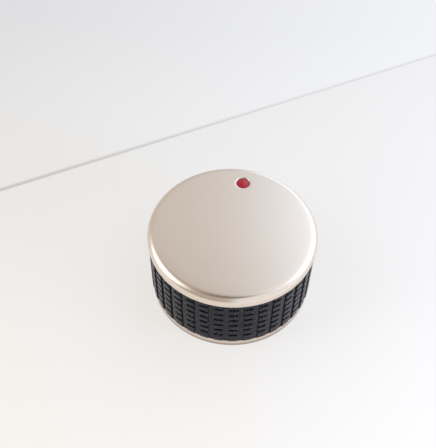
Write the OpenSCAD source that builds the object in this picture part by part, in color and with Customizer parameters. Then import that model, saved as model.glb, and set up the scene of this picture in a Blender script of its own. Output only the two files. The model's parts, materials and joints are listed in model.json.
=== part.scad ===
/* [Case] */
// Outer diameter of the metal cap, the widest part of the puck
puck_d = 60; // [59:0.5:64]
// Height of the cap's flat top face above the surface it stands on
puck_h = 30.8; // [30:0.2:34]
// Height of the cap's skirt, from its lower edge to the top face
cap_skirt_h = 3.9; // [3.5:0.1:4.5]
// Radius of the cap's rounded shoulder
shoulder_r = 2.7; // [2:0.1:3]
// Wall thickness of the cap's top
cap_wall = 1.4; // [1.2:0.1:1.6]
// Height of the metal base rim
rim_h = 3.5; // [3.3:0.1:3.8]
// How far the rubber feet stand out below the base
foot_proud = 0.4; // [0.3:0.1:0.6]

/* [Grip band] */
// Number of raised pad columns around the rubber band
column_count = 36; // [24:1:40]
// Width of the smooth channel between two columns
channel_w = 2; // [1.2:0.1:2.2]
// Number of cross grooves that cut each column into pads
groove_count = 6; // [4:1:6]
// Distance from one cross groove to the next
groove_pitch = 3.25; // [2.8:0.05:3.4]
// Height of one cross groove
groove_w = 1; // [0.5:0.1:1.2]
// How deep a cross groove is cut below the pads
groove_depth = 1.2; // [0.8:0.1:1.4]
// How far the pads stand out from the channels
pad_relief = 0.5; // [0.3:0.1:0.7]

/* [Fire button] */
// Diameter of the lit button's lens
button_d = 4.7; // [4.3:0.1:5.1]
// Distance from the puck's axis to the button's axis
button_offset = 21.8; // [21.4:0.1:21.9]
// How far the lens dome stands above the cap
dome_h = 0.1; // [0.1:0.1:0.5]
// Travel of the button from rest to the end of the press
button_travel = 0.5; // [0.3:0.1:0.6]

/* [Coil] */
// Outer diameter of the field coil's copper winding
coil_d = 32; // [26:1:32]
// Diameter of the ferrite core in the coil's middle
core_d = 9; // [7:0.5:10]

/* [Electronics] */
// Diameter of each storage capacitor's can
capacitor_d = 8; // [6.3:0.1:8]
// Length of each storage capacitor's can
capacitor_l = 16; // [12:1:17]
// Length of the battery cell along X
cell_x = 30; // [24:1:30]
// Width of the battery cell along Y
cell_y = 24; // [20:1:24]
// Thickness of the battery cell
cell_t = 4.4; // [3:0.1:4.6]

/* [Hidden] */
$fn = 72;
round_fn = 144;
cut = 1;

// Case: cap, base and the frame between them
outer_r = puck_d / 2;
skirt_wall = 1.2;
cap_z = puck_h - cap_skirt_h;
cap_in_z = puck_h - cap_wall;
base_z = foot_proud;
base_wall = 1.4;
base_in_z = base_z + base_wall;
base_top_z = base_z + rim_h;
base_r = outer_r - 0.6;
base_fillet = 0.6;
frame_r = outer_r - 3;
frame_wall = 1.8;
frame_in_r = frame_r - frame_wall;
frame_top_z = cap_in_z - 0.05;
flange_r = outer_r - skirt_wall - 0.1;
flange_t = 1.1;

// Grip band
band_r = outer_r - 0.3;
band_in_r = frame_r + 0.1;
channel_r = band_r - pad_relief;
groove_r = band_r - groove_depth;
band_z = base_top_z + 0.05;
band_top_z = cap_z - 0.05;
bottom_pad_h = 4.3;
column_pitch = 360 / column_count;
column_phase = 1.5;

// Screws, all M2: four through the case, three for the board, three for the coil
screw_r = 0.97;
screw_hole_r = 1.1;
pilot_r = 0.8;
pilot_screw_r = 0.78;
screw_head_r = 1.9;
screw_head_h = 1.3;
screw_circle_r = outer_r - 7.6;
case_screw_angles = [45, 135, 225, 315];
post_angles = [0, 180, 270];
column_r = 2.4;
rib_w = 3;
cap_boss_r = 2.6;
cap_boss_z = cap_in_z - 4;
thread_depth = 3.3;
base_boss_r = 2.8;
base_boss_h = 1.2;
column_z = base_in_z + base_boss_h;
counterbore_r = 2.1;
counterbore_h = 1.5;

// Feet and label
foot_r = 4;
foot_circle_r = outer_r - 10;
foot_angles = [0, 90, 180, 270];
foot_recess = 0.6;
label_r = 11;
label_recess = 0.2;

// Main board
board_z = 8.3;
board_t = 1.6;
board_top = board_z + board_t;
board_r = frame_in_r - 0.5;

// USB-C receptacle, on the underside of the board at the back
port_w = 8.94;
port_h = 3.2;
port_l = 7.3;
port_y = outer_r - 8.4;
port_z = board_z - port_h / 2;
port_wall = 0.3;
window_w = port_w + 0.9;
window_h = port_h + 0.7;
bezel_w = 14;
bezel_h = 5.5;
slot_w = 11.8;
slot_top = board_top + 0.4;

// Fire button and switch
hole_clearance = 0.08;
button_r = button_d / 2;
button_hole_r = button_r + hole_clearance;
lip_r = 0.4;
lens_edge_z = puck_h - lip_r;
button_flange_r = button_r + 0.7;
button_flange_t = 1.05;
button_flange_z = cap_in_z - 0.05 - button_flange_t;
stem_r = 1.6;
guide_bore_r = stem_r + 0.06;
guide_r = 3;
guide_z = 16.6;
guide_top = cap_in_z - 6.6;
switch_w = 6;
switch_body_h = 3.3;
switch_cover_t = 0.3;
plunger_r = 1.7;
plunger_hole_r = plunger_r + 0.08;
well_floor = 0.8;
plunger_z = board_top + well_floor + button_travel + 0.2;
plunger_top = board_top + 5.1;
spring_r = 2.3;
spring_wire_r = 0.2;
spring_turns = 5;

// Coil stack
carrier_z = board_top + 8.5;
carrier_t = 1.2;
bobbin_z = carrier_z + carrier_t;
cushion_t = 0.4;
bobbin_top = cap_in_z - cushion_t;
bobbin_flange_t = 0.8;
coil_r = coil_d / 2;
bobbin_r = coil_r + 1;
core_r = core_d / 2;
hub_r = core_r + 1.4;
arm_w = 5;
arm_r = 24.3;

module at_angle(angle, radius) {
  rotate(angle) translate([radius, 0, 0]) children();
}

module tube(outer, inner, h) {
  difference() {
    cylinder(r = outer, h = h, $fn = round_fn);
    translate([0, 0, -cut]) cylinder(r = inner, h = h + 2 * cut, $fn = round_fn);
  }
}

module box(x, y, z) {
  translate([-x / 2, -y / 2, 0]) cube([x, y, z]);
}

// Half section of a disc whose upper outer edge is rounded
module rounded_section(r, low, high, fillet) {
  translate([0, low]) square([r, high - low - fillet]);
  translate([0, low]) square([r - fillet, high - low]);
  translate([r - fillet, high - fillet]) intersection() {
    circle(r = fillet);
    square(fillet);
  }
}

// Slot with round ends, w wide and h high, running l along +Y
module pill(w, h, l) {
  rotate([-90, 0, 0]) linear_extrude(l) {
    square([w - h, h], center = true);
    for (side = [-1, 1]) translate([side * (w - h) / 2, 0]) circle(r = h / 2);
  }
}

// Straight stretch of stiff wire between two points
module wire_run(from, to, r) {
  step = to - from;
  length = norm(step);
  turn = atan2(step[1], step[0]);
  tilt = acos(step[2] / length);
  translate(from) rotate([0, tilt, turn]) cylinder(r = r, h = length);
}

// Stiff round wire along a list of points, with ball corners
module wire(points, r) {
  for (i = [0 : len(points) - 2]) wire_run(points[i], points[i + 1], r);
  for (i = [1 : len(points) - 2]) translate(points[i]) sphere(r = r);
}

// Soft insulated lead along a list of points
module soft_lead(points, r) {
  for (i = [0 : len(points) - 2]) hull() {
    translate(points[i]) sphere(r = r, $fn = 16);
    translate(points[i + 1]) sphere(r = r, $fn = 16);
  }
}

// Screw with its head's bearing face at z = 0 and its shank below
module screw(shank_r, length) {
  difference() {
    union() {
      translate([0, 0, -length]) cylinder(r = shank_r, h = length);
      cylinder(r = screw_head_r, h = screw_head_h);
    }
    translate([0, 0, screw_head_h - 0.8]) cylinder(r = 0.8, h = 1, $fn = 6);
  }
}

module top_cap() color("#d9d0c8") difference() {
  union() {
    rotate_extrude($fn = round_fn) difference() {
      rounded_section(outer_r, cap_z, puck_h, shoulder_r);
      rounded_section(outer_r - skirt_wall, cap_z - cut, cap_in_z, shoulder_r - cap_wall);
    }
    for (a = case_screw_angles) at_angle(a, screw_circle_r)
      translate([0, 0, cap_boss_z]) cylinder(r = cap_boss_r, h = cap_in_z - cap_boss_z + 0.1);
  }
  for (a = case_screw_angles) at_angle(a, screw_circle_r)
    translate([0, 0, cap_boss_z - cut]) cylinder(r = screw_r + 0.03, h = thread_depth + cut);
  translate([0, button_offset, cap_in_z - cut]) cylinder(r = button_hole_r, h = cap_wall + 2 * cut);
  translate([0, button_offset, puck_h]) hole_lip();
}

// Metal taken off around the button hole to leave its edge rounded
module hole_lip() rotate_extrude($fn = round_fn) difference() {
  translate([0, -lip_r]) square([button_hole_r + lip_r, 2 * lip_r]);
  translate([button_hole_r + lip_r, -lip_r]) circle(r = lip_r);
}

module fire_button() color("#a8182c") translate([0, button_offset, 0]) {
  rise = puck_h + dome_h - lens_edge_z;
  dome_r = (pow(button_r, 2) + pow(rise, 2)) / (2 * rise);
  rotate_extrude() {
    translate([0, button_flange_z]) square([button_flange_r, button_flange_t]);
    translate([0, button_flange_z]) square([button_r, lens_edge_z - button_flange_z]);
    translate([0, plunger_top]) square([stem_r, button_flange_z - plunger_top]);
    intersection() {
      translate([0, puck_h + dome_h - dome_r]) circle(r = dome_r, $fn = 144);
      translate([0, lens_edge_z]) square([button_r, rise]);
    }
  }
}

// Coil spring as a stack of tilted rings joined by closed end rings
module button_spring() color("#c8ccd0") translate([0, button_offset, 0]) {
  low = guide_top + spring_wire_r;
  high = button_flange_z - spring_wire_r;
  pitch = (high - low) / spring_turns;
  slant = atan(pitch / (2 * spring_r));
  for (i = [0 : spring_turns]) translate([0, 0, low + i * pitch]) spring_ring(0);
  for (i = [0 : spring_turns - 1]) translate([0, 0, low + (i + 0.5) * pitch]) spring_ring(slant);
}

module spring_ring(slant) {
  rotate([0, slant, 0]) rotate_extrude($fn = 48) translate([spring_r, 0]) circle(r = spring_wire_r, $fn = 16);
}

module switch_plunger() color("#2b2b2e") translate([0, button_offset, plunger_z])
  cylinder(r = plunger_r, h = plunger_top - plunger_z);

module switch_body() color("#1d1d20") translate([0, button_offset, board_top]) difference() {
  union() {
    box(switch_w, switch_w, switch_body_h);
    for (x = [-1, 1], y = [-1, 1]) translate([x * 3.4, y * 2.2, 0]) box(1, 0.7, 0.25);
  }
  translate([0, 0, well_floor]) cylinder(r = plunger_hole_r, h = switch_body_h);
}

module switch_cover() color("#c2c6c8") translate([0, button_offset, board_top]) difference() {
  union() {
    translate([0, 0, switch_body_h]) box(switch_w, switch_w, switch_cover_t);
    for (y = [-1, 1]) translate([0, y * (switch_w / 2 + 0.1), 1.2]) box(3, 0.2, switch_body_h - 0.9);
  }
  translate([0, 0, switch_body_h - cut]) cylinder(r = plunger_hole_r, h = switch_cover_t + 2 * cut);
}

module grip_band() color("#2a2a2e") difference() {
  translate([0, 0, band_z]) tube(band_r, band_in_r, band_top_z - band_z);
  difference() {
    cross_grooves();
    channels(groove_r - cut);
  }
  channels(channel_r);
  translate([0, outer_r, band_z - cut]) box(bezel_w, outer_r / 2, bezel_h + cut);
}

// Rings that the cross grooves take out of the pads
module cross_grooves() rotate_extrude($fn = round_fn) for (i = [0 : groove_count - 1])
  translate([groove_r, band_z + bottom_pad_h + i * groove_pitch - groove_w / 2])
    square([groove_depth + cut, groove_w]);

// Upright bars, one between each two columns, from the given radius outward
module channels(from_r) for (i = [0 : column_count - 1])
  rotate(column_phase - 90 + (i + 0.5) * column_pitch)
    translate([from_r, -channel_w / 2, band_z - cut])
      cube([outer_r - from_r + cut, channel_w, band_top_z - band_z + 2 * cut]);

// Insert that closes the notch in the band around the charging port
module port_bezel() color("#232326") difference() {
  intersection() {
    translate([0, 0, band_z]) tube(channel_r - 0.1, band_in_r, bezel_h - 0.1);
    translate([0, outer_r, band_z - cut]) box(bezel_w - 0.2, outer_r / 2, bezel_h + 2 * cut);
  }
  translate([0, port_y, port_z]) pill(window_w, window_h, outer_r);
}

module chassis() color("#3a3a3e") difference() {
  union() {
    translate([0, 0, base_in_z]) tube(frame_r, frame_in_r, frame_top_z - base_in_z);
    translate([0, 0, cap_z]) tube(flange_r, frame_in_r, flange_t);
    for (a = case_screw_angles) frame_post(a, column_z, cap_boss_z - 0.1);
    for (a = post_angles) frame_post(a, board_top, carrier_z);
    translate([0, button_offset, guide_z]) cylinder(r = guide_r, h = guide_top - guide_z);
    translate([-2, button_offset, guide_z]) cube([4, frame_in_r - button_offset + 0.5, guide_top - guide_z]);
  }
  for (a = case_screw_angles) at_angle(a, screw_circle_r) cylinder(r = screw_hole_r, h = puck_h);
  for (a = post_angles) at_angle(a, screw_circle_r) cylinder(r = pilot_r, h = carrier_z + cut);
  translate([0, button_offset, guide_z - cut]) cylinder(r = guide_bore_r, h = guide_top - guide_z + 2 * cut);
  translate([0, outer_r, 0]) box(slot_w, outer_r / 2, slot_top);
}

// Round post on the frame's inner wall, joined to it by a rib
module frame_post(angle, low, high) {
  at_angle(angle, screw_circle_r) translate([0, 0, low]) {
    cylinder(r = column_r, h = high - low);
    translate([0, -rib_w / 2, 0]) cube([frame_in_r - screw_circle_r + 0.4, rib_w, high - low]);
  }
}

module base_cover() color("#cfc2b6") difference() {
  union() {
    rotate_extrude($fn = round_fn) difference() {
      translate([0, base_z + base_top_z]) mirror([0, 1])
        rounded_section(base_r, base_z, base_top_z, base_fillet);
      translate([0, base_in_z]) square([frame_r + 0.1, rim_h]);
    }
    for (a = case_screw_angles) at_angle(a, screw_circle_r)
      translate([0, 0, base_in_z - 0.1]) cylinder(r = base_boss_r, h = base_boss_h + 0.05);
  }
  for (a = case_screw_angles) at_angle(a, screw_circle_r) {
    cylinder(r = screw_hole_r, h = rim_h + cut);
    cylinder(r = counterbore_r, h = base_z + counterbore_h);
  }
  for (a = foot_angles) at_angle(a, foot_circle_r) cylinder(r = foot_r + 0.1, h = base_z + foot_recess);
  cylinder(r = label_r + 0.1, h = base_z + label_recess);
}

module rating_label() color("#e4e2dc") translate([0, 0, base_z + 0.05])
  cylinder(r = label_r, h = label_recess - 0.05);

module foot(index) color("#303033") at_angle(foot_angles[index], foot_circle_r)
  translate([0, 0, base_z + foot_recess]) mirror([0, 0, 1])
    rotate_extrude() rounded_section(foot_r, 0, base_z + foot_recess, 0.3);

module case_screw(index) color("#b9bcc0") at_angle(case_screw_angles[index], screw_circle_r)
  translate([0, 0, base_z + counterbore_h]) mirror([0, 0, 1])
    screw(screw_r, cap_boss_z + thread_depth - 0.4 - base_z - counterbore_h);

module board_screw(index) color("#b9bcc0") at_angle(post_angles[index], screw_circle_r)
  translate([0, 0, board_z]) mirror([0, 0, 1]) screw(pilot_screw_r, 4.9);

module coil_screw(index) color("#b9bcc0") at_angle(post_angles[index], screw_circle_r)
  translate([0, 0, bobbin_z]) screw(pilot_screw_r, 5);

module coil_carrier() color("#d8d4c4") translate([0, 0, carrier_z]) difference() {
  union() {
    cylinder(r = bobbin_r, h = carrier_t);
    for (a = post_angles) rotate(a) translate([0, -arm_w / 2, 0]) cube([arm_r, arm_w, carrier_t]);
  }
  for (a = post_angles) at_angle(a, screw_circle_r) translate([0, 0, -cut])
    cylinder(r = screw_hole_r, h = carrier_t + 2 * cut);
}

module coil_bobbin() color("#ece6d2") translate([0, 0, bobbin_z]) difference() {
  bobbin_h = bobbin_top - bobbin_z;
  union() {
    cylinder(r = bobbin_r, h = bobbin_flange_t);
    translate([0, 0, bobbin_h - bobbin_flange_t]) cylinder(r = bobbin_r, h = bobbin_flange_t);
    cylinder(r = hub_r, h = bobbin_h);
  }
  translate([0, 0, -cut]) cylinder(r = core_r + 0.05, h = bobbin_h + 2 * cut);
}

module field_coil() color("#b4622d") translate([0, 0, bobbin_z + bobbin_flange_t])
  tube(coil_r, hub_r, bobbin_top - bobbin_z - 2 * bobbin_flange_t);

module ferrite_core() color("#3b3b3f") translate([0, 0, bobbin_z])
  cylinder(r = core_r, h = bobbin_top - bobbin_z);

module coil_cushion() color("#4a4a4e") translate([0, 0, bobbin_top])
  tube(bobbin_r - 0.5, core_r, cushion_t - 0.05);

// Lead from a board pad straight up beside the coil, then in to the winding
module coil_lead(side) color("#c2762f") {
  lead_r = 0.4;
  lead_angle = 19;
  pad_r = 18.6;
  entry_z = bobbin_z + bobbin_flange_t + 1.2;
  rotate(side * lead_angle)
    wire([[pad_r, 0, board_top], [pad_r, 0, entry_z], [coil_r, 0, entry_z]], lead_r);
}

module main_board() color("#1f6b45") translate([0, 0, board_z]) difference() {
  union() {
    cylinder(r = board_r, h = board_t, $fn = round_fn);
    translate([0, frame_in_r - 1, 0]) box(slot_w - 0.8, 4, board_t);
  }
  for (a = case_screw_angles) at_angle(a, screw_circle_r) translate([0, 0, -cut]) {
    cylinder(r = column_r + 0.5, h = board_t + 2 * cut);
    translate([0, -column_r - 0.5, 0]) cube([5, 2 * column_r + 1, board_t + 2 * cut]);
  }
  for (a = post_angles) at_angle(a, screw_circle_r) translate([0, 0, -cut])
    cylinder(r = screw_hole_r, h = board_t + 2 * cut);
}

// Electrolytic can lying along Y, with a crimp near one end and two bent legs
module capacitor(x) color("#23324f") translate([x, -9, board_top + 0.1 + capacitor_d / 2]) {
  can_r = capacitor_d / 2;
  crimp = 0.35;
  rotate([-90, 0, 0]) rotate_extrude() difference() {
    square([can_r, capacitor_l]);
    translate([can_r, 2]) circle(r = crimp, $fn = 32);
  }
  for (side = [-1, 1])
    wire([[side * 1.75, 0.1, 0], [side * 1.75, -1.3, 0], [side * 1.75, -1.3, -can_r - 0.1]], 0.3);
}

// Transformer's ferrite frame: two windows beside a centre leg
transformer_at = [9, -2.3, board_top];
core_x = 12;
core_y = 4.6;
core_h = 8;
leg_x = 2.6;
window_x = 3;
window_z = 4.4;

module transformer_core() color("#45454a") translate(transformer_at) difference() {
  box(core_x, core_y, core_h);
  for (side = [-1, 1])
    translate([side * (leg_x + window_x) / 2, 0, (core_h - window_z) / 2])
      box(window_x, core_y + cut, window_z);
}

module transformer_winding() color("#c9a23a") {
  turns_x = 2.65;
  turns_h = window_z - 0.2;
  translate(transformer_at + [0, 0, (core_h - turns_h) / 2]) difference() {
    box(leg_x + 2 * turns_x, core_y + 2 * turns_x, turns_h);
    translate([0, 0, -cut]) box(leg_x + 0.1, core_y + 0.1, turns_h + 2 * cut);
  }
}

module thyristor() color("#202022") translate([-8, 13.3, board_top]) {
  box(6.5, 5.6, 2.3);
  translate([0, 3.2, 0]) box(5.2, 1.4, 0.5);
  for (x = [-2.3, 0, 2.3]) translate([x, -3.6, 0]) box(0.8, 2, 0.5);
}

module controller_chip() color("#1a1a1c") translate([8.5, 8.2, board_top]) {
  translate([0, 0, 0.1]) box(4, 5, 1.5);
  for (side = [-1, 1], i = [-1.5 : 1 : 1.5]) translate([side * 2.5, i * 1.27, 0]) box(1.4, 0.42, 0.3);
}

module charger_chip() color("#1a1a1c") translate([7, 14.5, board_top]) {
  box(3, 3, 0.9);
  for (side = [-1, 1], i = [-1 : 1]) translate([side * 1.6, i * 0.9, 0]) box(0.4, 0.4, 0.25);
}

module status_led() color("#e8e4da") translate([5.6, 20.2, board_top]) {
  box(2, 3, 0.6);
  translate([0, 0, 0.6]) intersection() {
    sphere(r = 0.9);
    box(2, 2, 1);
  }
}

module diode(x) color("#1e1e20") translate([x, -14, board_top]) {
  translate([0, 0, 0.1]) box(4.3, 2.6, 2);
  for (side = [-1, 1]) translate([side * 2.2, 0, 0]) box(1, 1.5, 0.9);
}

// Row of chip resistors and capacitors in front, and a short row behind the capacitors
module small_parts() color("#b8a47a") translate([0, 0, board_top]) {
  for (i = [-3 : 3]) translate([i * 2.6, -18, 0]) box(1, 1.8, 0.5);
  for (i = [0 : 2]) translate([-1 + i * 2.2, 10.5, 0]) box(0.9, 1.6, 0.5);
}

module usb_shell() color("#c4c7ca") translate([0, port_y, port_z]) difference() {
  pill(port_w, port_h, port_l);
  translate([0, 0.4, 0]) pill(port_w - 2 * port_wall, port_h - 2 * port_wall, port_l);
}

module usb_tongue() color("#1b1b1d") translate([0, port_y + 0.4, port_z]) {
  pill(port_w - 2 * port_wall, port_h - 2 * port_wall, 1.2);
  translate([-3.3, 1.2, -0.35]) cube([6.6, 4.9, 0.7]);
}

cell_at = [0, -1, base_in_z + 0.5];
seam_y = 2.2;

module battery_cell() color("#c9ccd0") translate(cell_at) {
  corner = 1.2;
  body_y = cell_y - seam_y;
  translate([0, -seam_y / 2, 0]) linear_extrude(cell_t) {
    square([cell_x - 2 * corner, body_y], center = true);
    square([cell_x, body_y - 2 * corner], center = true);
    for (x = [-1, 1], y = [-1, 1])
      translate([x * (cell_x / 2 - corner), y * (body_y / 2 - corner)]) circle(r = corner);
  }
  translate([0, cell_y / 2 - seam_y / 2, cell_t / 2 - 0.2]) box(cell_x - 1, seam_y + 0.2, 0.4);
}

module battery_pad() color("#d4d4d0") translate([cell_at[0], cell_at[1], base_in_z])
  box(cell_x - 6, cell_y - 6, 0.45);

module battery_board() color("#2f7a4f") translate([0, cell_at[1] + cell_y / 2 + 1.6, cell_at[2] + 2.1]) {
  box(22, 2.8, 0.8);
  translate([4, 0, 0.8]) box(3, 1.8, 0.9);
  translate([-2, 0, 0.8]) box(2, 1.8, 0.9);
}

// Leads from the protection strip to the plug, past the frame's screw column
lead_r = 0.45;
lead_z = cell_at[2] + 2.1 + 0.8 + lead_r;
plug_z = board_z - 1.7;
strip_y = cell_at[1] + cell_y / 2 + 0.6;

module battery_lead_1() color("#b3202a")
  soft_lead([[-8, strip_y, lead_z], [-17, strip_y, lead_z + 0.4], [-18.7, 11.5, plug_z]], lead_r);

module battery_lead_2() color("#1c1c1e")
  soft_lead([[-7, strip_y + 1, lead_z], [-17.5, strip_y + 1.3, lead_z + 0.4], [-20.5, 12.2, plug_z],
    [-20.5, 11.5, plug_z]], lead_r);

module board_header() color("#e9e4d6") translate([-19.6, 5.9, board_z - 3.1]) difference() {
  box(4.8, 4.6, 3.1);
  translate([0, 0.8, 0.3]) box(3.9, 4.6, 2.3);
}

module battery_plug() color("#f2eee2") translate([-19.6, 7.75, board_z - 2.75]) box(3.8, 6.6, 2.2);

top_cap();
fire_button();
button_spring();
switch_plunger();
switch_body();
switch_cover();
grip_band();
port_bezel();
chassis();
base_cover();
rating_label();
for (i = [1 : 4]) foot(i - 1);
for (i = [1 : 4]) case_screw(i - 1);
for (i = [1 : 3]) board_screw(i - 1);
for (i = [1 : 3]) coil_screw(i - 1);
coil_carrier();
coil_bobbin();
field_coil();
ferrite_core();
coil_cushion();
coil_lead(-1);  // coil_lead_1
coil_lead(1);  // coil_lead_2
main_board();
capacitor(-12);  // capacitor_1
capacitor(-3);  // capacitor_2
transformer_core();
transformer_winding();
thyristor();
controller_chip();
charger_chip();
status_led();
diode(1.5);  // diode_1
diode(8.5);  // diode_2
small_parts();
usb_shell();
usb_tongue();
battery_cell();
battery_pad();
battery_board();
battery_lead_1();
battery_lead_2();
board_header();
battery_plug();
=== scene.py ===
import json
import math

import bmesh
import bpy
import numpy as np
from mathutils import Euler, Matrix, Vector


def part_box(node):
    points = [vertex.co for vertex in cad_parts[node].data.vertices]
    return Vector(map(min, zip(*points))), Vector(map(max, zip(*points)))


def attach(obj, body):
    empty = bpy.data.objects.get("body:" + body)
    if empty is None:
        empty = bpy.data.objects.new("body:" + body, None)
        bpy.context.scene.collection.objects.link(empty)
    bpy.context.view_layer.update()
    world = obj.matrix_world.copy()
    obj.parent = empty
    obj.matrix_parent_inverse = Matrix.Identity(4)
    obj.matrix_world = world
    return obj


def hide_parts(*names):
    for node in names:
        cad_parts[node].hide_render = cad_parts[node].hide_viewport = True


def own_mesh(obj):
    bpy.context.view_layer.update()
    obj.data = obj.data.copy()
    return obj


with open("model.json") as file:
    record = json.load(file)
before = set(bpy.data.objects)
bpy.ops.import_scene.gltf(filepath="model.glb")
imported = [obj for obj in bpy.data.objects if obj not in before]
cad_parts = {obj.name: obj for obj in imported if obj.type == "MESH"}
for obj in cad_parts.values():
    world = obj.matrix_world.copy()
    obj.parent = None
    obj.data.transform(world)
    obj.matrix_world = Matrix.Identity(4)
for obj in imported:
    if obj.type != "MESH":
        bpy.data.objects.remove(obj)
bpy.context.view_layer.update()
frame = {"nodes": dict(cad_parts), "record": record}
MM = 0.001

# ---------------------------------------------------------------- sizes, from the frame

cap_low, cap_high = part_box("top_cap")
band_low, band_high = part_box("grip_band")
button_low, button_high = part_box("fire_button")
spring_low, spring_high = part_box("button_spring")
coil_low, coil_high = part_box("field_coil")
bobbin_low, bobbin_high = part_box("coil_bobbin")

cap_r = cap_high.x
top_z = cap_high.z
cap_boss_z = cap_low.z
skirt_z = band_high.z + 0.05 * MM
shoulder = 2.7 * MM
cap_wall = 1.4 * MM
skirt_wall = 1.2 * MM
band_r = band_high.x

button_at = (button_low + button_high) / 2
flange_r = (button_high.x - button_low.x) / 2
lens_r = flange_r - 0.7 * MM
hole_r = lens_r + 0.08 * MM

# ---------------------------------------------------------------- camera

CAMERA_AZIMUTH = 8.3
CAMERA_ELEVATION = 54.44
CAMERA_DISTANCE = 260.3 * MM
CAMERA_TARGET = Vector((0, 0, 11.4 * MM))
CAMERA_TURN = (math.radians(2.95), math.radians(1.21), math.radians(2.47))
CAMERA_LENS = 56.25
SENSOR_WIDTH = 36
CLIP_NEAR, CLIP_FAR = 0.01, 10


def make_camera():
    """Looks at the puck from the front and above, then turns a little to place it in the frame."""
    data = bpy.data.cameras.new("camera")
    data.lens = CAMERA_LENS
    data.sensor_width = SENSOR_WIDTH
    camera = bpy.data.objects.new("camera", data)
    bpy.context.scene.collection.objects.link(camera)
    azimuth, elevation = math.radians(CAMERA_AZIMUTH), math.radians(CAMERA_ELEVATION)
    back = Vector((
        math.sin(azimuth) * math.cos(elevation),
        -math.cos(azimuth) * math.cos(elevation),
        math.sin(elevation),
    ))
    camera.location = CAMERA_TARGET + back * CAMERA_DISTANCE
    tilt, pan, roll = CAMERA_TURN
    facing = (-back).to_track_quat("-Z", "Y")
    pan_turn = Euler((0, pan, 0)).to_quaternion()
    tilt_turn = Euler((tilt, 0, 0)).to_quaternion()
    roll_turn = Euler((0, 0, roll)).to_quaternion()
    camera.rotation_mode = "QUATERNION"
    camera.rotation_quaternion = facing @ pan_turn @ tilt_turn @ roll_turn
    data.clip_start, data.clip_end = CLIP_NEAR, CLIP_FAR
    bpy.context.scene.camera = camera


# ---------------------------------------------------------------- materials

NOISE_RANGE = (0.3, 0.7)


def split_place(tree, output, turn=0.0):
    """Position or direction turned about Z, as its vector and its separate X, Y and Z."""
    place = tree.nodes.new("ShaderNodeTexCoord")
    vector = place.outputs[output]
    if turn:
        mapping = tree.nodes.new("ShaderNodeMapping")
        mapping.inputs["Rotation"].default_value = (0, 0, turn)
        tree.links.new(vector, mapping.inputs["Vector"])
        vector = mapping.outputs["Vector"]
    split = tree.nodes.new("ShaderNodeSeparateXYZ")
    tree.links.new(vector, split.inputs["Vector"])
    return vector, split.outputs


def principled(name, color, roughness, metallic=0.0):
    """New node material with these settings; returns it with its tree and shader."""
    material = bpy.data.materials.new(name)
    material.use_nodes = True
    tree = material.node_tree
    shader = tree.nodes["Principled BSDF"]
    shader.inputs["Base Color"].default_value = (*color, 1)
    shader.inputs["Roughness"].default_value = roughness
    shader.inputs["Metallic"].default_value = metallic
    return material, tree, shader


def add_node(tree, kind, **inputs):
    """New node with values on its input sockets; an underscore in a name stands for a space."""
    node = tree.nodes.new(kind)
    for key, value in inputs.items():
        node.inputs[key.replace("_", " ")].default_value = value
    return node


def object_noise(tree, scale, detail=3.0):
    """Noise texture in object space, scale in cells per metre."""
    place = tree.nodes.new("ShaderNodeTexCoord")
    noise = add_node(tree, "ShaderNodeTexNoise", Scale=scale, Detail=detail)
    tree.links.new(place.outputs["Object"], noise.inputs["Vector"])
    return noise.outputs["Fac"]


def fade(tree, value, low, high, start, end):
    """start at or below low, end at or above high, and even between."""
    ramp = add_node(tree, "ShaderNodeMapRange", From_Min=low, From_Max=high, To_Min=start, To_Max=end)
    tree.links.new(value, ramp.inputs["Value"])
    return ramp.outputs["Result"]


def spread(tree, value, low, high):
    """The noise value mapped from its usual range onto low to high."""
    return fade(tree, value, *NOISE_RANGE, low, high)


def mix_colors(tree, factor, first, second):
    """first where the factor is 0, second where it is 1. Each is a colour or a socket."""
    mix = tree.nodes.new("ShaderNodeMix")
    mix.data_type = "RGBA"
    tree.links.new(factor, mix.inputs["Factor"])
    for side, color in (("A", first), ("B", second)):
        if isinstance(color, bpy.types.NodeSocket):
            tree.links.new(color, mix.inputs[side])
        else:
            mix.inputs[side].default_value = (*color, 1)
    return mix.outputs["Result"]


def vary_color(tree, shader, value, dark, light):
    """Base colour that drifts between dark and light with the noise value."""
    tree.links.new(mix_colors(tree, spread(tree, value, 0, 1), dark, light), shader.inputs["Base Color"])


def add_bump(tree, shader, value, height):
    """Bump of the given height in metres."""
    bump = add_node(tree, "ShaderNodeBump", Distance=height, Strength=1.0)
    tree.links.new(value, bump.inputs["Height"])
    tree.links.new(bump.outputs["Normal"], shader.inputs["Normal"])


def shaded(color, factor):
    """The colour with every channel times the factor."""
    return tuple(channel * factor for channel in color)


def surface(
    name, color, roughness, metallic=0.0, grain=0.15 * MM, relief=0.004 * MM, tint=0.12, rough_spread=0.08,
):
    """Plain moulded or machined surface: fine grain in its relief, slower drift in colour and roughness."""
    material, tree, shader = principled(name, color, roughness, metallic)
    fine = object_noise(tree, 1 / grain, 2)
    slow = object_noise(tree, 1 / (12 * grain), 4)
    vary_color(tree, shader, slow, shaded(color, 1 - tint), shaded(color, 1 + tint))
    drift = spread(tree, slow, roughness - rough_spread, roughness + rough_spread)
    tree.links.new(drift, shader.inputs["Roughness"])
    add_bump(tree, shader, fine, relief)
    return material


def satin_metal(name, color, roughness):
    """Bead-blasted and anodised aluminium."""
    grain, relief = 0.09 * MM, 0.0012 * MM
    return surface(name, color, roughness, 1.0, grain, relief, tint=0.012, rough_spread=0.006)


# Painted contact shade on the base rim's side: its darker colour, its top height, its softness, and where it stops
# above the underside.
RIM_PAINTED_SHADE_COLOR = (0.38, 0.30, 0.25)
RIM_PAINTED_SHADE_TOP = 1.9 * MM
RIM_PAINTED_SHADE_SOFTNESS = 0.3 * MM
RIM_PAINTED_SHADE_BOTTOM = (0.42 * MM, 0.6 * MM)


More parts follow.
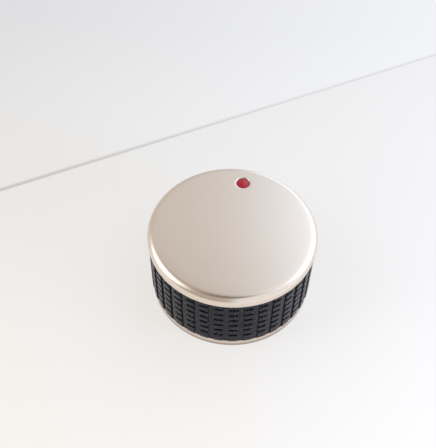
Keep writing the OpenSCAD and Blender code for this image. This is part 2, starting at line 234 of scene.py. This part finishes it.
def metal_with_painted_shade(name, color, roughness):
    """Satin metal with painted shade on its side: darker from just above its underside up to its set top height,
    standing in for a contact shadow.
    """
    material = satin_metal(name, color, roughness)
    tree = material.node_tree
    shader = tree.nodes["Principled BSDF"]
    _, place = split_place(tree, "Object")
    upward = fade(tree, place["Z"], RIM_PAINTED_SHADE_TOP - RIM_PAINTED_SHADE_SOFTNESS, RIM_PAINTED_SHADE_TOP + RIM_PAINTED_SHADE_SOFTNESS, 0.0, 1.0)
    side = fade(tree, place["Z"], *RIM_PAINTED_SHADE_BOTTOM, 0.0, 1.0)
    satin = shader.inputs["Base Color"].links[0].from_socket
    painted_shade = mix_colors(tree, upward, RIM_PAINTED_SHADE_COLOR, satin)
    tree.links.new(mix_colors(tree, side, satin, painted_shade), shader.inputs["Base Color"])
    return material


def red_lens():
    """Clear red plastic, lightly scattering, with a glossy face."""
    color = (0.36, 0.006, 0.016)
    material, tree, shader = principled("red_lens", color, 0.16)
    shader.inputs["Subsurface Weight"].default_value = 0.25
    shader.inputs["Subsurface Radius"].default_value = (1.2 * MM, 0.2 * MM, 0.2 * MM)
    shader.inputs["Subsurface Scale"].default_value = 1.0
    shader.inputs["Specular IOR Level"].default_value = 0.3
    shader.inputs["Coat Weight"].default_value = 0.3
    shader.inputs["Coat Roughness"].default_value = 0.05
    slow = object_noise(tree, 1 / (1.5 * MM))
    vary_color(tree, shader, slow, shaded(color, 0.85), shaded(color, 1.15))
    return material


# Painted glints on the rubber: pale specks in the base colour, with their size, noise range and colour.
PAINTED_GLINT_SIZE = 0.26 * MM
PAINTED_GLINT_NOISE = (0.68, 0.74)
PAINTED_GLINT_COLOR = (0.24, 0.26, 0.34)


def grip_rubber():
    """Moulded rubber with a coarse matt grain and sparse pale specks in its colour, which are painted glints."""
    color = (0.0052, 0.0053, 0.0080)
    material = surface("grip_rubber", color, 0.2, grain=0.34 * MM, relief=0.035 * MM, tint=0.3, rough_spread=0.05)
    tree = material.node_tree
    shader = tree.nodes["Principled BSDF"]
    shader.inputs["Specular IOR Level"].default_value = 0.12
    shader.inputs["Sheen Weight"].default_value = 0.05
    shader.inputs["Sheen Roughness"].default_value = 0.3
    painted_glints = fade(tree, object_noise(tree, 1 / PAINTED_GLINT_SIZE, 1), *PAINTED_GLINT_NOISE, 0.0, 1.0)
    rubber = shader.inputs["Base Color"].links[0].from_socket
    tree.links.new(mix_colors(tree, painted_glints, rubber, PAINTED_GLINT_COLOR), shader.inputs["Base Color"])
    return material


# ---------------------------------------------------------------- mesh helpers

def new_object(name, verts, faces, material):
    """Smooth-shaded mesh object with one material."""
    mesh = bpy.data.meshes.new(name)
    mesh.from_pydata([tuple(v) for v in verts], [], faces)
    mesh.materials.append(material)
    mesh.polygons.foreach_set("use_smooth", [True] * len(mesh.polygons))
    mesh.update()
    obj = bpy.data.objects.new(name, mesh)
    bpy.context.scene.collection.objects.link(obj)
    return obj


def fix_normals(obj):
    """Turns every face outwards."""
    made = bmesh.new()
    made.from_mesh(obj.data)
    bmesh.ops.recalc_face_normals(made, faces=made.faces)
    made.to_mesh(obj.data)
    made.free()


def ring(radius, z, centre=(0.0, 0.0)):
    """One level of a loft: a circle at a height, about its own centre."""
    return (radius, z, centre)


def arc(radius, corner_r, corner_z, fillet, start, end, steps=8, centre=(0.0, 0.0)):
    """Rings along a fillet whose own centre is at (corner_r, corner_z), from angle start to end in degrees."""
    rings = []
    for i in range(steps + 1):
        angle = math.radians(start + (end - start) * i / steps)
        rings.append(ring(corner_r + fillet * math.cos(angle), corner_z + fillet * math.sin(angle), centre))
    return rings


def loft(rings, segments, closed):
    """Verts and faces of a skin through a list of rings. closed joins the last ring to the first."""
    verts, faces = [], []
    for radius, z, (x, y) in rings:
        for i in range(segments):
            angle = 2 * math.pi * i / segments
            verts.append((x + radius * math.cos(angle), y + radius * math.sin(angle), z))
    count = len(rings)
    for j in range(count if closed else count - 1):
        a, b = j * segments, (j + 1) % count * segments
        for i in range(segments):
            k = (i + 1) % segments
            faces.append((a + i, a + k, b + k, b + i))
    return verts, faces


def join_parts(parts):
    """Several pairs of verts and faces as one."""
    verts, faces = [], []
    for part_verts, part_faces in parts:
        offset = len(verts)
        verts += part_verts
        faces += [tuple(i + offset for i in face) for face in part_faces]
    return verts, faces


def finish_piece(obj, body, slot, *nodes):
    """Puts the piece on its body in place of these CAD nodes; the slot argument is not used."""
    fix_normals(obj)
    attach(obj, body)
    if nodes:
        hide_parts(*nodes)
    return obj


# ---------------------------------------------------------------- top cap

HOLE_LIP = 0.4 * MM
SKIRT_LIP = 0.15 * MM
TOP_STEPS = 14
TOP_CROWDING = 1.3
SCREW_CIRCLE_R = 22.4 * MM
BOSS_R = 2.6 * MM
BOSS_HOLE_R = 1.0 * MM


def disc_rings(hole, inner, outer, z, parts):
    """Rings in a plane that move from the button's hole at part 0 to the cap's axis at part 1."""
    return [
        ring(inner + (outer - inner) * part, z, (hole[0] * (1 - part), hole[1] * (1 - part)))
        for part in parts
    ]


def cap_rings():
    """One closed skin: out of the button's hole, over the flat top and the shoulder, and back inside."""
    hole = (button_at.x, button_at.y)
    in_z, rim_r, mouth_r = top_z - cap_wall, cap_r - shoulder, hole_r + HOLE_LIP
    rings = [ring(hole_r, in_z, hole)]
    rings += arc(0, mouth_r, top_z - HOLE_LIP, HOLE_LIP, 180, 90, steps=10, centre=hole)
    outward = [(i / TOP_STEPS) ** TOP_CROWDING for i in range(1, TOP_STEPS + 1)]
    rings += disc_rings(hole, mouth_r, rim_r, top_z, outward)
    rings += arc(0, rim_r, top_z - shoulder, shoulder, 90, 0, steps=24)[1:]
    rings += arc(0, cap_r - SKIRT_LIP, skirt_z + SKIRT_LIP, SKIRT_LIP, 0, -90, steps=4)
    inner_r = cap_r - skirt_wall
    inner_fillet = shoulder - cap_wall
    rings += [ring(inner_r, skirt_z)]
    rings += arc(0, inner_r - inner_fillet, in_z - inner_fillet, inner_fillet, 0, 90, steps=6)
    inward = [(1 - i / TOP_STEPS) ** TOP_CROWDING for i in range(1, TOP_STEPS)]
    return rings + disc_rings(hole, hole_r, inner_r - inner_fillet, in_z, inward)


def make_cap(material):
    """The cap's shell with its four screw bosses inside."""
    parts = [loft(cap_rings(), 256, True)]
    low, high = cap_boss_z, top_z - cap_wall
    for k in range(4):
        angle = math.radians(45 + 90 * k)
        centre = (SCREW_CIRCLE_R * math.cos(angle), SCREW_CIRCLE_R * math.sin(angle))
        outline = ((BOSS_R, high), (BOSS_R, low), (BOSS_HOLE_R, low), (BOSS_HOLE_R, high))
        parts.append(loft([ring(radius, z, centre) for radius, z in outline], 48, True))
    cap = new_object("cap_shell", *join_parts(parts), material)
    cap.data.set_sharp_from_angle(angle=math.radians(35))
    return finish_piece(cap, "case", "champagne_metal", "top_cap")


# ---------------------------------------------------------------- fire button

LENS_EDGE = 0.14 * MM
LENS_EDGE_LIFT = 0.04 * MM
FLANGE_GAP = 0.05 * MM
FLANGE_T = 1.05 * MM
STEM_R = 1.6 * MM
AXIS_R = 1e-6


def make_button(material):
    """Low domed lens with a rounded rim just below the cap's face, its hidden flange and its stem."""
    centre = (button_at.x, button_at.y)
    edge_z = top_z - HOLE_LIP
    dome = button_high.z - edge_z
    dome_r = (lens_r ** 2 + dome ** 2) / (2 * dome)
    half = math.degrees(math.asin(lens_r / dome_r))
    flange_z = top_z - cap_wall - FLANGE_GAP
    rings = [ring(AXIS_R, button_high.z, centre)]
    steps = 20
    for i in range(1, steps):
        angle = math.radians(half * 0.95 * i / steps)
        rings.append(ring(dome_r * math.sin(angle), button_high.z - dome_r + dome_r * math.cos(angle), centre))
    rim_z = edge_z - LENS_EDGE + LENS_EDGE_LIFT
    rings += arc(0, lens_r - LENS_EDGE, rim_z, LENS_EDGE, 90 - half, 0, steps=6, centre=centre)
    rings += [ring(lens_r, flange_z, centre), ring(flange_r, flange_z, centre)]
    rings += [ring(flange_r, flange_z - FLANGE_T, centre), ring(STEM_R, flange_z - FLANGE_T, centre)]
    rings += [ring(STEM_R, button_low.z, centre), ring(AXIS_R, button_low.z, centre)]
    button = new_object("button_lens", *loft(rings, 96, False), material)
    button.data.set_sharp_from_angle(angle=math.radians(40))
    return finish_piece(button, "button", "red_lens", "fire_button")


# ---------------------------------------------------------------- grip band

COLUMNS = 36
COLUMN_PHASE = math.radians(1.5 - 90)
GROOVES = 6
GROOVE_PITCH = 3.25 * MM
FIRST_GROOVE = 4.3 * MM
GROOVE_W = 1.0 * MM
GROOVE_DEPTH = 1.2 * MM
CHANNEL_W = 2.0 * MM
RELIEF = 0.5 * MM
PAD_EDGE = 0.2 * MM
WALL_RUN = 0.02 * MM
BAND_INNER_R = 27.1 * MM
PORT_HALF_W = 7.0 * MM
PORT_H = 5.5 * MM
PORT_REACH = (20 * MM, 40 * MM)


def edge_samples(low, high, inner):
    """Positions from low to high that crowd at both ends, where a pad's edge is rounded."""
    steps = [0.0, WALL_RUN / PAD_EDGE, 0.25, 0.55, 1.0]
    rise = [low + PAD_EDGE * s for s in steps]
    fall = [high - PAD_EDGE * s for s in reversed(steps)]
    middle = np.linspace(rise[-1], fall[0], inner + 2)[1:-1]
    return [*rise, *middle, *fall]


def edge_drop(distance, depth):
    """How far the surface lies below a pad's top, at a distance inside the pad's outline."""
    inside = np.clip(distance / PAD_EDGE, 0, 1)
    rounded = PAD_EDGE * (1 - np.sqrt(1 - (1 - inside) ** 2))
    return np.where(distance < WALL_RUN / 2, depth, rounded)


def band_columns():
    """Angles across every column, with each one's distance inside its pads' sides."""
    pitch = 2 * math.pi / COLUMNS
    half = (pitch * band_r - CHANNEL_W) / 2
    angles, inside = [], []
    for c in range(COLUMNS):
        middle = COLUMN_PHASE + c * pitch
        for x in edge_samples(-half, half, 5):
            angles.append(middle + x / band_r)
            inside.append(half - abs(x))
        for x in np.linspace(half, pitch * band_r - half, 4)[1:-1]:
            angles.append(middle + x / band_r)
            inside.append(-1.0)
    return np.array(angles), np.array(inside)


def band_rows():
    """Heights up the band, with each one's distance inside its pads' ends."""
    height = band_high.z - band_low.z
    cuts = [FIRST_GROOVE + i * GROOVE_PITCH for i in range(GROOVES)]
    lows = [0.0] + [cut + GROOVE_W / 2 for cut in cuts]
    highs = [cut - GROOVE_W / 2 for cut in cuts] + [height]
    rows, inside = [], []
    for low, high in zip(lows, highs):
        for z in edge_samples(low, high, 3):
            rows.append(band_low.z + z)
            outer = min(z, height - z) < WALL_RUN / 2
            inside.append(WALL_RUN if outer else min(z - low, high - z))
    return np.array(rows), np.array(inside)


def make_band(material):
    """Rubber sleeve: a skin of pads around a plain inner wall, with a notch for the port's bezel."""
    angles, side = band_columns()
    rows, end = band_rows()
    in_column = np.maximum(edge_drop(side, RELIEF)[None, :], edge_drop(end, GROOVE_DEPTH)[:, None])
    radius = band_r - np.where(side[None, :] < WALL_RUN / 2, RELIEF, in_column)
    skin = [(BAND_INNER_R, rows[0])] + list(zip(radius, rows)) + [(BAND_INNER_R, rows[-1])]
    verts, faces = [], []
    for level, z in skin:
        x, y = np.cos(angles) * level, np.sin(angles) * level
        verts += list(zip(x, y, np.full(len(angles), z)))
    n, levels = len(angles), len(skin)
    for j in range(levels):
        a, b = j * n, (j + 1) % levels * n
        faces += [(a + i, a + (i + 1) % n, b + (i + 1) % n, b + i) for i in range(n)]
    band = new_object("grip_sleeve", verts, faces, material)
    fix_normals(band)
    cut_port(band)
    band.data.set_sharp_from_angle(angle=math.radians(50))
    return finish_piece(band, "case", "grip_rubber", "grip_band")


def cut_port(band):
    """Takes the bezel's notch out of the band's lower edge, at the back."""
    cutter = new_object("port_cutter", [
        (x * PORT_HALF_W, y, z)
        for x in (-1, 1) for y in PORT_REACH for z in (0.0, band_low.z + PORT_H)
    ], [(0, 1, 3, 2), (4, 6, 7, 5), (0, 4, 5, 1), (2, 3, 7, 6), (0, 2, 6, 4), (1, 5, 7, 3)], band.data.materials[0])
    fix_normals(cutter)
    cut = band.modifiers.new("port", "BOOLEAN")
    cut.object, cut.operation, cut.solver = cutter, "DIFFERENCE", "EXACT"
    graph = bpy.context.evaluated_depsgraph_get()
    mesh = bpy.data.meshes.new_from_object(band.evaluated_get(graph))
    band.modifiers.clear()
    band.data = mesh
    bpy.data.objects.remove(cutter)


# ---------------------------------------------------------------- coil spring

def tube_along(points, radius, sides):
    """Verts and faces of a round tube along points, with flat ends."""
    verts, faces = [], []
    count = len(points)
    for i, point in enumerate(points):
        along = (points[min(i + 1, count - 1)] - points[max(i - 1, 0)]).normalized()
        across = along.cross(Vector((0, 0, 1))).normalized() if abs(along.z) < 0.95 else Vector((1, 0, 0))
        up = across.cross(along)
        for s in range(sides):
            angle = 2 * math.pi * s / sides
            verts.append(point + (across * math.cos(angle) + up * math.sin(angle)) * radius)
    for i in range(count - 1):
        a, b = i * sides, (i + 1) * sides
        faces += [(a + s, a + (s + 1) % sides, b + (s + 1) % sides, b + s) for s in range(sides)]
    faces += [tuple(range(sides)), tuple(range((count - 1) * sides, count * sides))]
    return verts, faces


SPRING_WIRE_R = 0.2 * MM
SPRING_TURNS = 7.0
SPRING_STEPS = 260


def make_spring(material):
    """Wound steel wire with a closed turn at each end."""
    radius = (spring_high.x - spring_low.x) / 2 - SPRING_WIRE_R
    low, high = spring_low.z + SPRING_WIRE_R, spring_high.z - SPRING_WIRE_R
    points = []
    for i in range(SPRING_STEPS + 1):
        part = i / SPRING_STEPS
        angle = 2 * math.pi * SPRING_TURNS * part
        rise = min(max((part * SPRING_TURNS - 1) / (SPRING_TURNS - 2), 0), 1)
        z = low + (high - low) * rise
        points.append(Vector((button_at.x + radius * math.cos(angle), button_at.y + radius * math.sin(angle), z)))
    spring = new_object("return_spring", *tube_along(points, SPRING_WIRE_R, 12), material)
    finish_piece(spring, "case", "spring_steel", "button_spring")
    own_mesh(spring)
    return spring


# ---------------------------------------------------------------- field coil

COIL_TURNS = 14
COIL_INNER_R = 5.9 * MM


def make_coil(material):
    """Layered copper winding: round wire turns show on its outside."""
    low, high, outer = coil_low.z, coil_high.z, coil_high.x
    pitch = (high - low) / COIL_TURNS
    rings = [ring(COIL_INNER_R, low)]
    for t in range(COIL_TURNS):
        middle = low + (t + 0.5) * pitch
        rings += arc(0, outer - pitch / 2, middle, pitch / 2, -80, 80, steps=6)
    rings.append(ring(COIL_INNER_R, high))
    coil = new_object("coil_winding", *loft(rings, 160, True), material)
    coil.data.set_sharp_from_angle(angle=math.radians(60))
    return finish_piece(coil, "case", "copper_winding", "field_coil")


# ---------------------------------------------------------------- materials of the carried-over CAD nodes

def cad_materials():
    """Every record slot's finish, for the CAD nodes that stay as they are."""
    return {
        "base_metal": metal_with_painted_shade("base_metal", (0.68, 0.59, 0.52), 0.3),
        "foot_rubber": surface("foot_rubber", (0.04, 0.04, 0.043), 0.65, relief=0.01 * MM),
        "black_plastic": surface("black_plastic", (0.022, 0.022, 0.024), 0.42, relief=0.006 * MM),
        "chip_epoxy": surface("chip_epoxy", (0.018, 0.018, 0.019), 0.5, relief=0.006 * MM),
        "frame_plastic": surface("frame_plastic", (0.04, 0.04, 0.043), 0.55, relief=0.008 * MM),
        "bright_steel": surface("bright_steel", (0.72, 0.73, 0.74), 0.2, 1.0, relief=0.001 * MM, tint=0.04),
        "screw_steel": surface("screw_steel", (0.6, 0.61, 0.63), 0.3, 1.0, relief=0.002 * MM, tint=0.06),
        "spring_steel": surface("spring_steel", (0.62, 0.63, 0.65), 0.25, 1.0, relief=0.001 * MM, tint=0.05),
        "bobbin_nylon": surface("bobbin_nylon", (0.8, 0.75, 0.62), 0.45, relief=0.004 * MM, tint=0.04),
        "copper_winding": surface("copper_winding", (0.66, 0.26, 0.1), 0.28, 1.0, relief=0.002 * MM, tint=0.1),
        "ferrite": surface("ferrite", (0.05, 0.05, 0.055), 0.6, relief=0.008 * MM),
        "foam": surface("foam", (0.16, 0.16, 0.17), 0.9, grain=0.3 * MM, relief=0.06 * MM),
        "board_green": surface("board_green", (0.012, 0.15, 0.06), 0.3, grain=0.5 * MM, relief=0.004 * MM),
        "capacitor_sleeve": surface("capacitor_sleeve", (0.012, 0.035, 0.12), 0.25, relief=0.002 * MM),
        "tape_yellow": surface("tape_yellow", (0.7, 0.48, 0.07), 0.3, relief=0.003 * MM),
        "led_lens": surface("led_lens", (0.82, 0.78, 0.66), 0.15, relief=0.001 * MM, tint=0.05),
        "ceramic_chip": surface("ceramic_chip", (0.5, 0.4, 0.26), 0.45, relief=0.003 * MM),
        "usb_plastic": surface("usb_plastic", (0.016, 0.016, 0.017), 0.4, relief=0.003 * MM),
        "cell_foil": surface("cell_foil", (0.66, 0.67, 0.69), 0.3, 1.0, grain=0.6 * MM, relief=0.01 * MM, tint=0.04),
        "lead_red": surface("lead_red", (0.5, 0.015, 0.02), 0.4, relief=0.003 * MM),
        "lead_black": surface("lead_black", (0.016, 0.016, 0.017), 0.4, relief=0.003 * MM),
        "label_film": surface("label_film", (0.74, 0.73, 0.69), 0.5, relief=0.002 * MM, tint=0.03),
    }


def dress_cad_nodes(materials):
    """Gives each CAD node that stays its slot's finish."""
    slots = {part["node"]: part["material_slot"] for part in frame["record"]["subparts"]}
    for name, obj in frame["nodes"].items():
        if slots[name] in materials:
            obj.data.materials.clear()
            obj.data.materials.append(materials[slots[name]])


# ---------------------------------------------------------------- desk, backdrop and light

DESK_EDGE_ANGLE = math.radians(35.6)
DESK_EDGE_DISTANCE = 80.6 * MM
SEAM_ALONG = (math.cos(DESK_EDGE_ANGLE), math.sin(DESK_EDGE_ANGLE), 0)
SEAM_AWAY = (-math.sin(DESK_EDGE_ANGLE), math.cos(DESK_EDGE_ANGLE), 0)
# Painted shade in the seam: its strength at the left and right ends, the reach it runs over, and its half width.
SEAM_SHADE = (0.52, 0.17)
SEAM_SHADE_REACH = (-110 * MM, 70 * MM)
SEAM_SHADE_HALF_W = 1.5 * MM
SURROUND = 1.6
SEAM_STATIONS = ((-SURROUND, 2.3 * MM), (-0.2, 2.3 * MM), (0.2, 0.7 * MM), (SURROUND, 0.7 * MM))
SEAM_DEPTH = 1.1 * MM
SEAM_STEPS = 24
DESK_COLOR = (0.2, 0.2, 0.2)
# Painted light on the desk: where its glow runs across and away from the camera, and its near and far colours,
# brighter towards the window and the front.
GLOW_ACROSS = (-120 * MM, 120 * MM)
GLOW_AWAY = (-80 * MM, 160 * MM)
GLOW_NEAR = ((0.635, 0.605, 0.55), (0.755, 0.742, 0.742))
GLOW_FAR = ((0.508, 0.503, 0.504), (0.65, 0.642, 0.642))


def painted_glow_stage(name, color):
    """Matt white board with painted light: it glows, more towards the window and the front, in place of light
    falling on it.
    """
    material = surface(name, color, 0.6, grain=0.6 * MM, relief=0.002 * MM, tint=0.006, rough_spread=0.03)
    tree = material.node_tree
    shader = tree.nodes["Principled BSDF"]
    shader.inputs["Specular IOR Level"].default_value = 0.2
    _, turned = split_place(tree, "Object", math.radians(-CAMERA_AZIMUTH))
    across = fade(tree, turned["X"], *GLOW_ACROSS, 0.0, 1.0)
    away = fade(tree, turned["Y"], *GLOW_AWAY, 0.0, 1.0)
    glow = mix_colors(tree, away, mix_colors(tree, across, *GLOW_NEAR), mix_colors(tree, across, *GLOW_FAR))
    tree.links.new(glow, shader.inputs["Emission Color"])
    position, _ = split_place(tree, "Object")
    tree.links.new(seam_shade(tree, position), shader.inputs["Emission Strength"])
    return material


def number_math(tree, operation, *values):
    """Output of a math node. Each value is a socket or a number."""
    node = tree.nodes.new("ShaderNodeMath")
    node.operation = operation
    for socket, value in zip(node.inputs, values):
        if isinstance(value, bpy.types.NodeSocket):
            tree.links.new(value, socket)
        else:
            socket.default_value = value
    return node.outputs["Value"]


def seam_shade(tree, position):
    """1 on the open board, less in the seam: painted shade in the seam, darker at its left end."""
    along = vector_math(tree, "DOT_PRODUCT", position, SEAM_ALONG)["Value"]
    away = vector_math(tree, "DOT_PRODUCT", position, SEAM_AWAY)["Value"]
    distance = number_math(tree, "ABSOLUTE", number_math(tree, "SUBTRACT", away, DESK_EDGE_DISTANCE))
    inside = fade(tree, distance, 0.0, SEAM_SHADE_HALF_W, 1.0, 0.0)
    depth = fade(tree, along, *SEAM_SHADE_REACH, *SEAM_SHADE)
    return fade(tree, number_math(tree, "MULTIPLY", inside, depth), 0.0, 1.0, 1.0, 0.0)


def make_stage():
    """A white desk top with painted glow that runs on to a pale board, with a soft shallow seam between the two."""
    along, away = Vector(SEAM_ALONG), Vector(SEAM_AWAY)
    profile = [(-SURROUND, 0.0)]
    for i in range(SEAM_STEPS + 1):
        part = i / SEAM_STEPS
        profile.append((part - 0.5, -SEAM_DEPTH * 0.5 * (1 - math.cos(2 * math.pi * part))))
    profile.append((SURROUND, 0.0))
    verts, faces = [], []
    for side, width in SEAM_STATIONS:
        for k, (reach, z) in enumerate(profile):
            flat = k in (0, len(profile) - 1)
            out = reach if flat else DESK_EDGE_DISTANCE + reach * width
            verts.append(along * side + away * out + Vector((0, 0, z)))
    count = len(profile)
    for row in range(len(SEAM_STATIONS) - 1):
        a, b = row * count, (row + 1) * count
        faces += [(a + k, a + k + 1, b + k + 1, b + k) for k in range(count - 1)]
    desk = new_object("desk", verts, faces, painted_glow_stage("desk_white_painted_glow", DESK_COLOR))


def area_light(name, azimuth, elevation, distance, size, power, color):
    """Soft box at an azimuth round from the camera's right, facing the puck."""
    data = bpy.data.lights.new(name, "AREA")
    data.shape = "RECTANGLE"
    data.size, data.size_y = size
    data.energy = power
    data.color = color
    light = bpy.data.objects.new(name, data)
    bpy.context.scene.collection.objects.link(light)
    turn, lift = math.radians(azimuth + CAMERA_AZIMUTH), math.radians(elevation)
    out = Vector((math.cos(turn) * math.cos(lift), math.sin(turn) * math.cos(lift), math.sin(lift)))
    light.location = out * distance
    light.rotation_euler = out.to_track_quat("Z", "Y").to_euler()
    return light


WORLD_STRENGTH = 2.0
ACROSS_STOPS = (
    (-1.0, (0.80, 0.73, 0.66)),
    (-0.12, (0.77, 0.76, 0.75)),
    (0.0, (0.80, 0.80, 0.815)),
    (0.06, (0.93, 0.98, 1.07)),
    (0.12, (1.48, 1.74, 2.12)),
    (0.4, (1.45, 1.60, 1.80)),
    (1.0, (1.60, 1.82, 2.10)),
)
RISE_STOPS = (
    (-1.0, (0.86, 0.86, 0.86)),
    (0.55, (0.86, 0.86, 0.86)),
    (0.737, (0.90, 0.90, 0.90)),
    (0.785, (1.10, 1.09, 1.07)),
    (0.82, (0.82, 0.785, 0.74)),
    (0.878, (0.68, 0.63, 0.57)),
    (1.0, (0.68, 0.64, 0.59)),
)
FRONT_STOPS = (
    (-1.0, (0.80, 0.74, 0.68)),
    (-0.45, (0.72, 0.68, 0.63)),
    (0.1, (1.0, 1.0, 1.0)),
    (1.0, (1.0, 1.0, 1.0)),
)
LEFT_WINDOW_TURN, LEFT_WINDOW_LIFT = math.radians(183), math.radians(31)
LEFT_WINDOW = (
    math.cos(LEFT_WINDOW_TURN) * math.cos(LEFT_WINDOW_LIFT),
    math.sin(LEFT_WINDOW_TURN) * math.cos(LEFT_WINDOW_LIFT),
    math.sin(LEFT_WINDOW_LIFT),
)
LEFT_WINDOW_SPREAD = (math.cos(math.radians(31)), math.cos(math.radians(10)))
LEFT_WINDOW_COLOR = (2.2, 2.4, 2.6)
LAMP_HEAD_TILT = math.radians(14)
LAMP_HEAD = (-0.035, -math.sin(LAMP_HEAD_TILT), math.cos(LAMP_HEAD_TILT))
LAMP_HEAD_SPREAD = (math.cos(math.radians(19)), math.cos(math.radians(10)))
LAMP_HEAD_COLOR = (0.20, 0.15, 0.13)


def color_stops(tree, value, stops, scale):
    """Colour that runs through the stops as the value goes from -1 to 1."""
    span = add_node(tree, "ShaderNodeMapRange", From_Min=-1.0, From_Max=1.0)
    tree.links.new(value, span.inputs["Value"])
    ramp = tree.nodes.new("ShaderNodeValToRGB")
    elements = ramp.color_ramp.elements
    while len(elements) < len(stops):
        elements.new(0.5)
    for element, (at, color) in zip(elements, stops):
        element.position = (at + 1) / 2
        element.color = (*shaded(color, scale), 1)
    tree.links.new(span.outputs["Result"], ramp.inputs["Fac"])
    return ramp.outputs["Color"]


def vector_math(tree, operation, first, second):
    """Output sockets of a vector operation. first is a socket; second is a socket or a vector."""
    node = tree.nodes.new("ShaderNodeVectorMath")
    node.operation = operation
    tree.links.new(first, node.inputs[0])
    if isinstance(second, bpy.types.NodeSocket):
        tree.links.new(second, node.inputs[1])
    else:
        node.inputs[1].default_value = second
    return node.outputs


def add_patch(tree, light, direction, centre, spread_cosines, color):
    """The light with a soft round patch of another colour around the centre direction."""
    toward = vector_math(tree, "DOT_PRODUCT", direction, centre)["Value"]
    near = fade(tree, toward, *spread_cosines, 0.0, 1.0)
    return mix_colors(tree, near, light, shaded(color, 1 / WORLD_STRENGTH))


def make_world():
    """Bright room, cooler on the right, with a soft window on the left and a dark lamp head overhead."""
    world = bpy.data.worlds.new("room")
    world.use_nodes = True
    tree = world.node_tree
    background = tree.nodes["Background"]
    direction, turned = split_place(tree, "Generated", math.radians(-CAMERA_AZIMUTH))
    light = color_stops(tree, turned["X"], ACROSS_STOPS, 1 / WORLD_STRENGTH)
    for axis, stops in (("Z", RISE_STOPS), ("Y", FRONT_STOPS)):
        light = vector_math(tree, "MULTIPLY", light, color_stops(tree, turned[axis], stops, 1))["Vector"]
    light = add_patch(tree, light, direction, LEFT_WINDOW, LEFT_WINDOW_SPREAD, LEFT_WINDOW_COLOR)
    light = add_patch(tree, light, direction, LAMP_HEAD, LAMP_HEAD_SPREAD, LAMP_HEAD_COLOR)
    tree.links.new(light, background.inputs["Color"])
    background.inputs["Strength"].default_value = WORLD_STRENGTH
    bpy.context.scene.world = world


LAMP = {"elevation": 18, "distance": 0.3, "size": (0.12, 0.12)}


def make_lights():
    """A soft window on the right, and a low lamp on either side that brightens but doesn't reflect."""
    area_light(
        "window_right", azimuth=14, elevation=30, distance=0.6, size=(0.4, 0.3), power=0.35, color=(0.88, 0.95, 1.0),
    )
    warm = area_light("lamp_left", azimuth=205, power=0.42, color=(1.0, 0.82, 0.68), **LAMP)
    cool = area_light("lamp_right", azimuth=-24, power=0.75, color=(0.62, 0.76, 1.0), **LAMP)
    warm.visible_glossy = cool.visible_glossy = False


# ---------------------------------------------------------------- build

make_camera()
materials = cad_materials()
make_cap(satin_metal("champagne_metal", (0.79, 0.69, 0.60), 0.25))
make_button(red_lens())
make_band(grip_rubber())
make_spring(materials["spring_steel"])
make_coil(materials["copper_winding"])
dress_cad_nodes(materials)
make_stage()
make_world()
make_lights()
bpy.context.scene.view_settings.view_transform = "Standard"
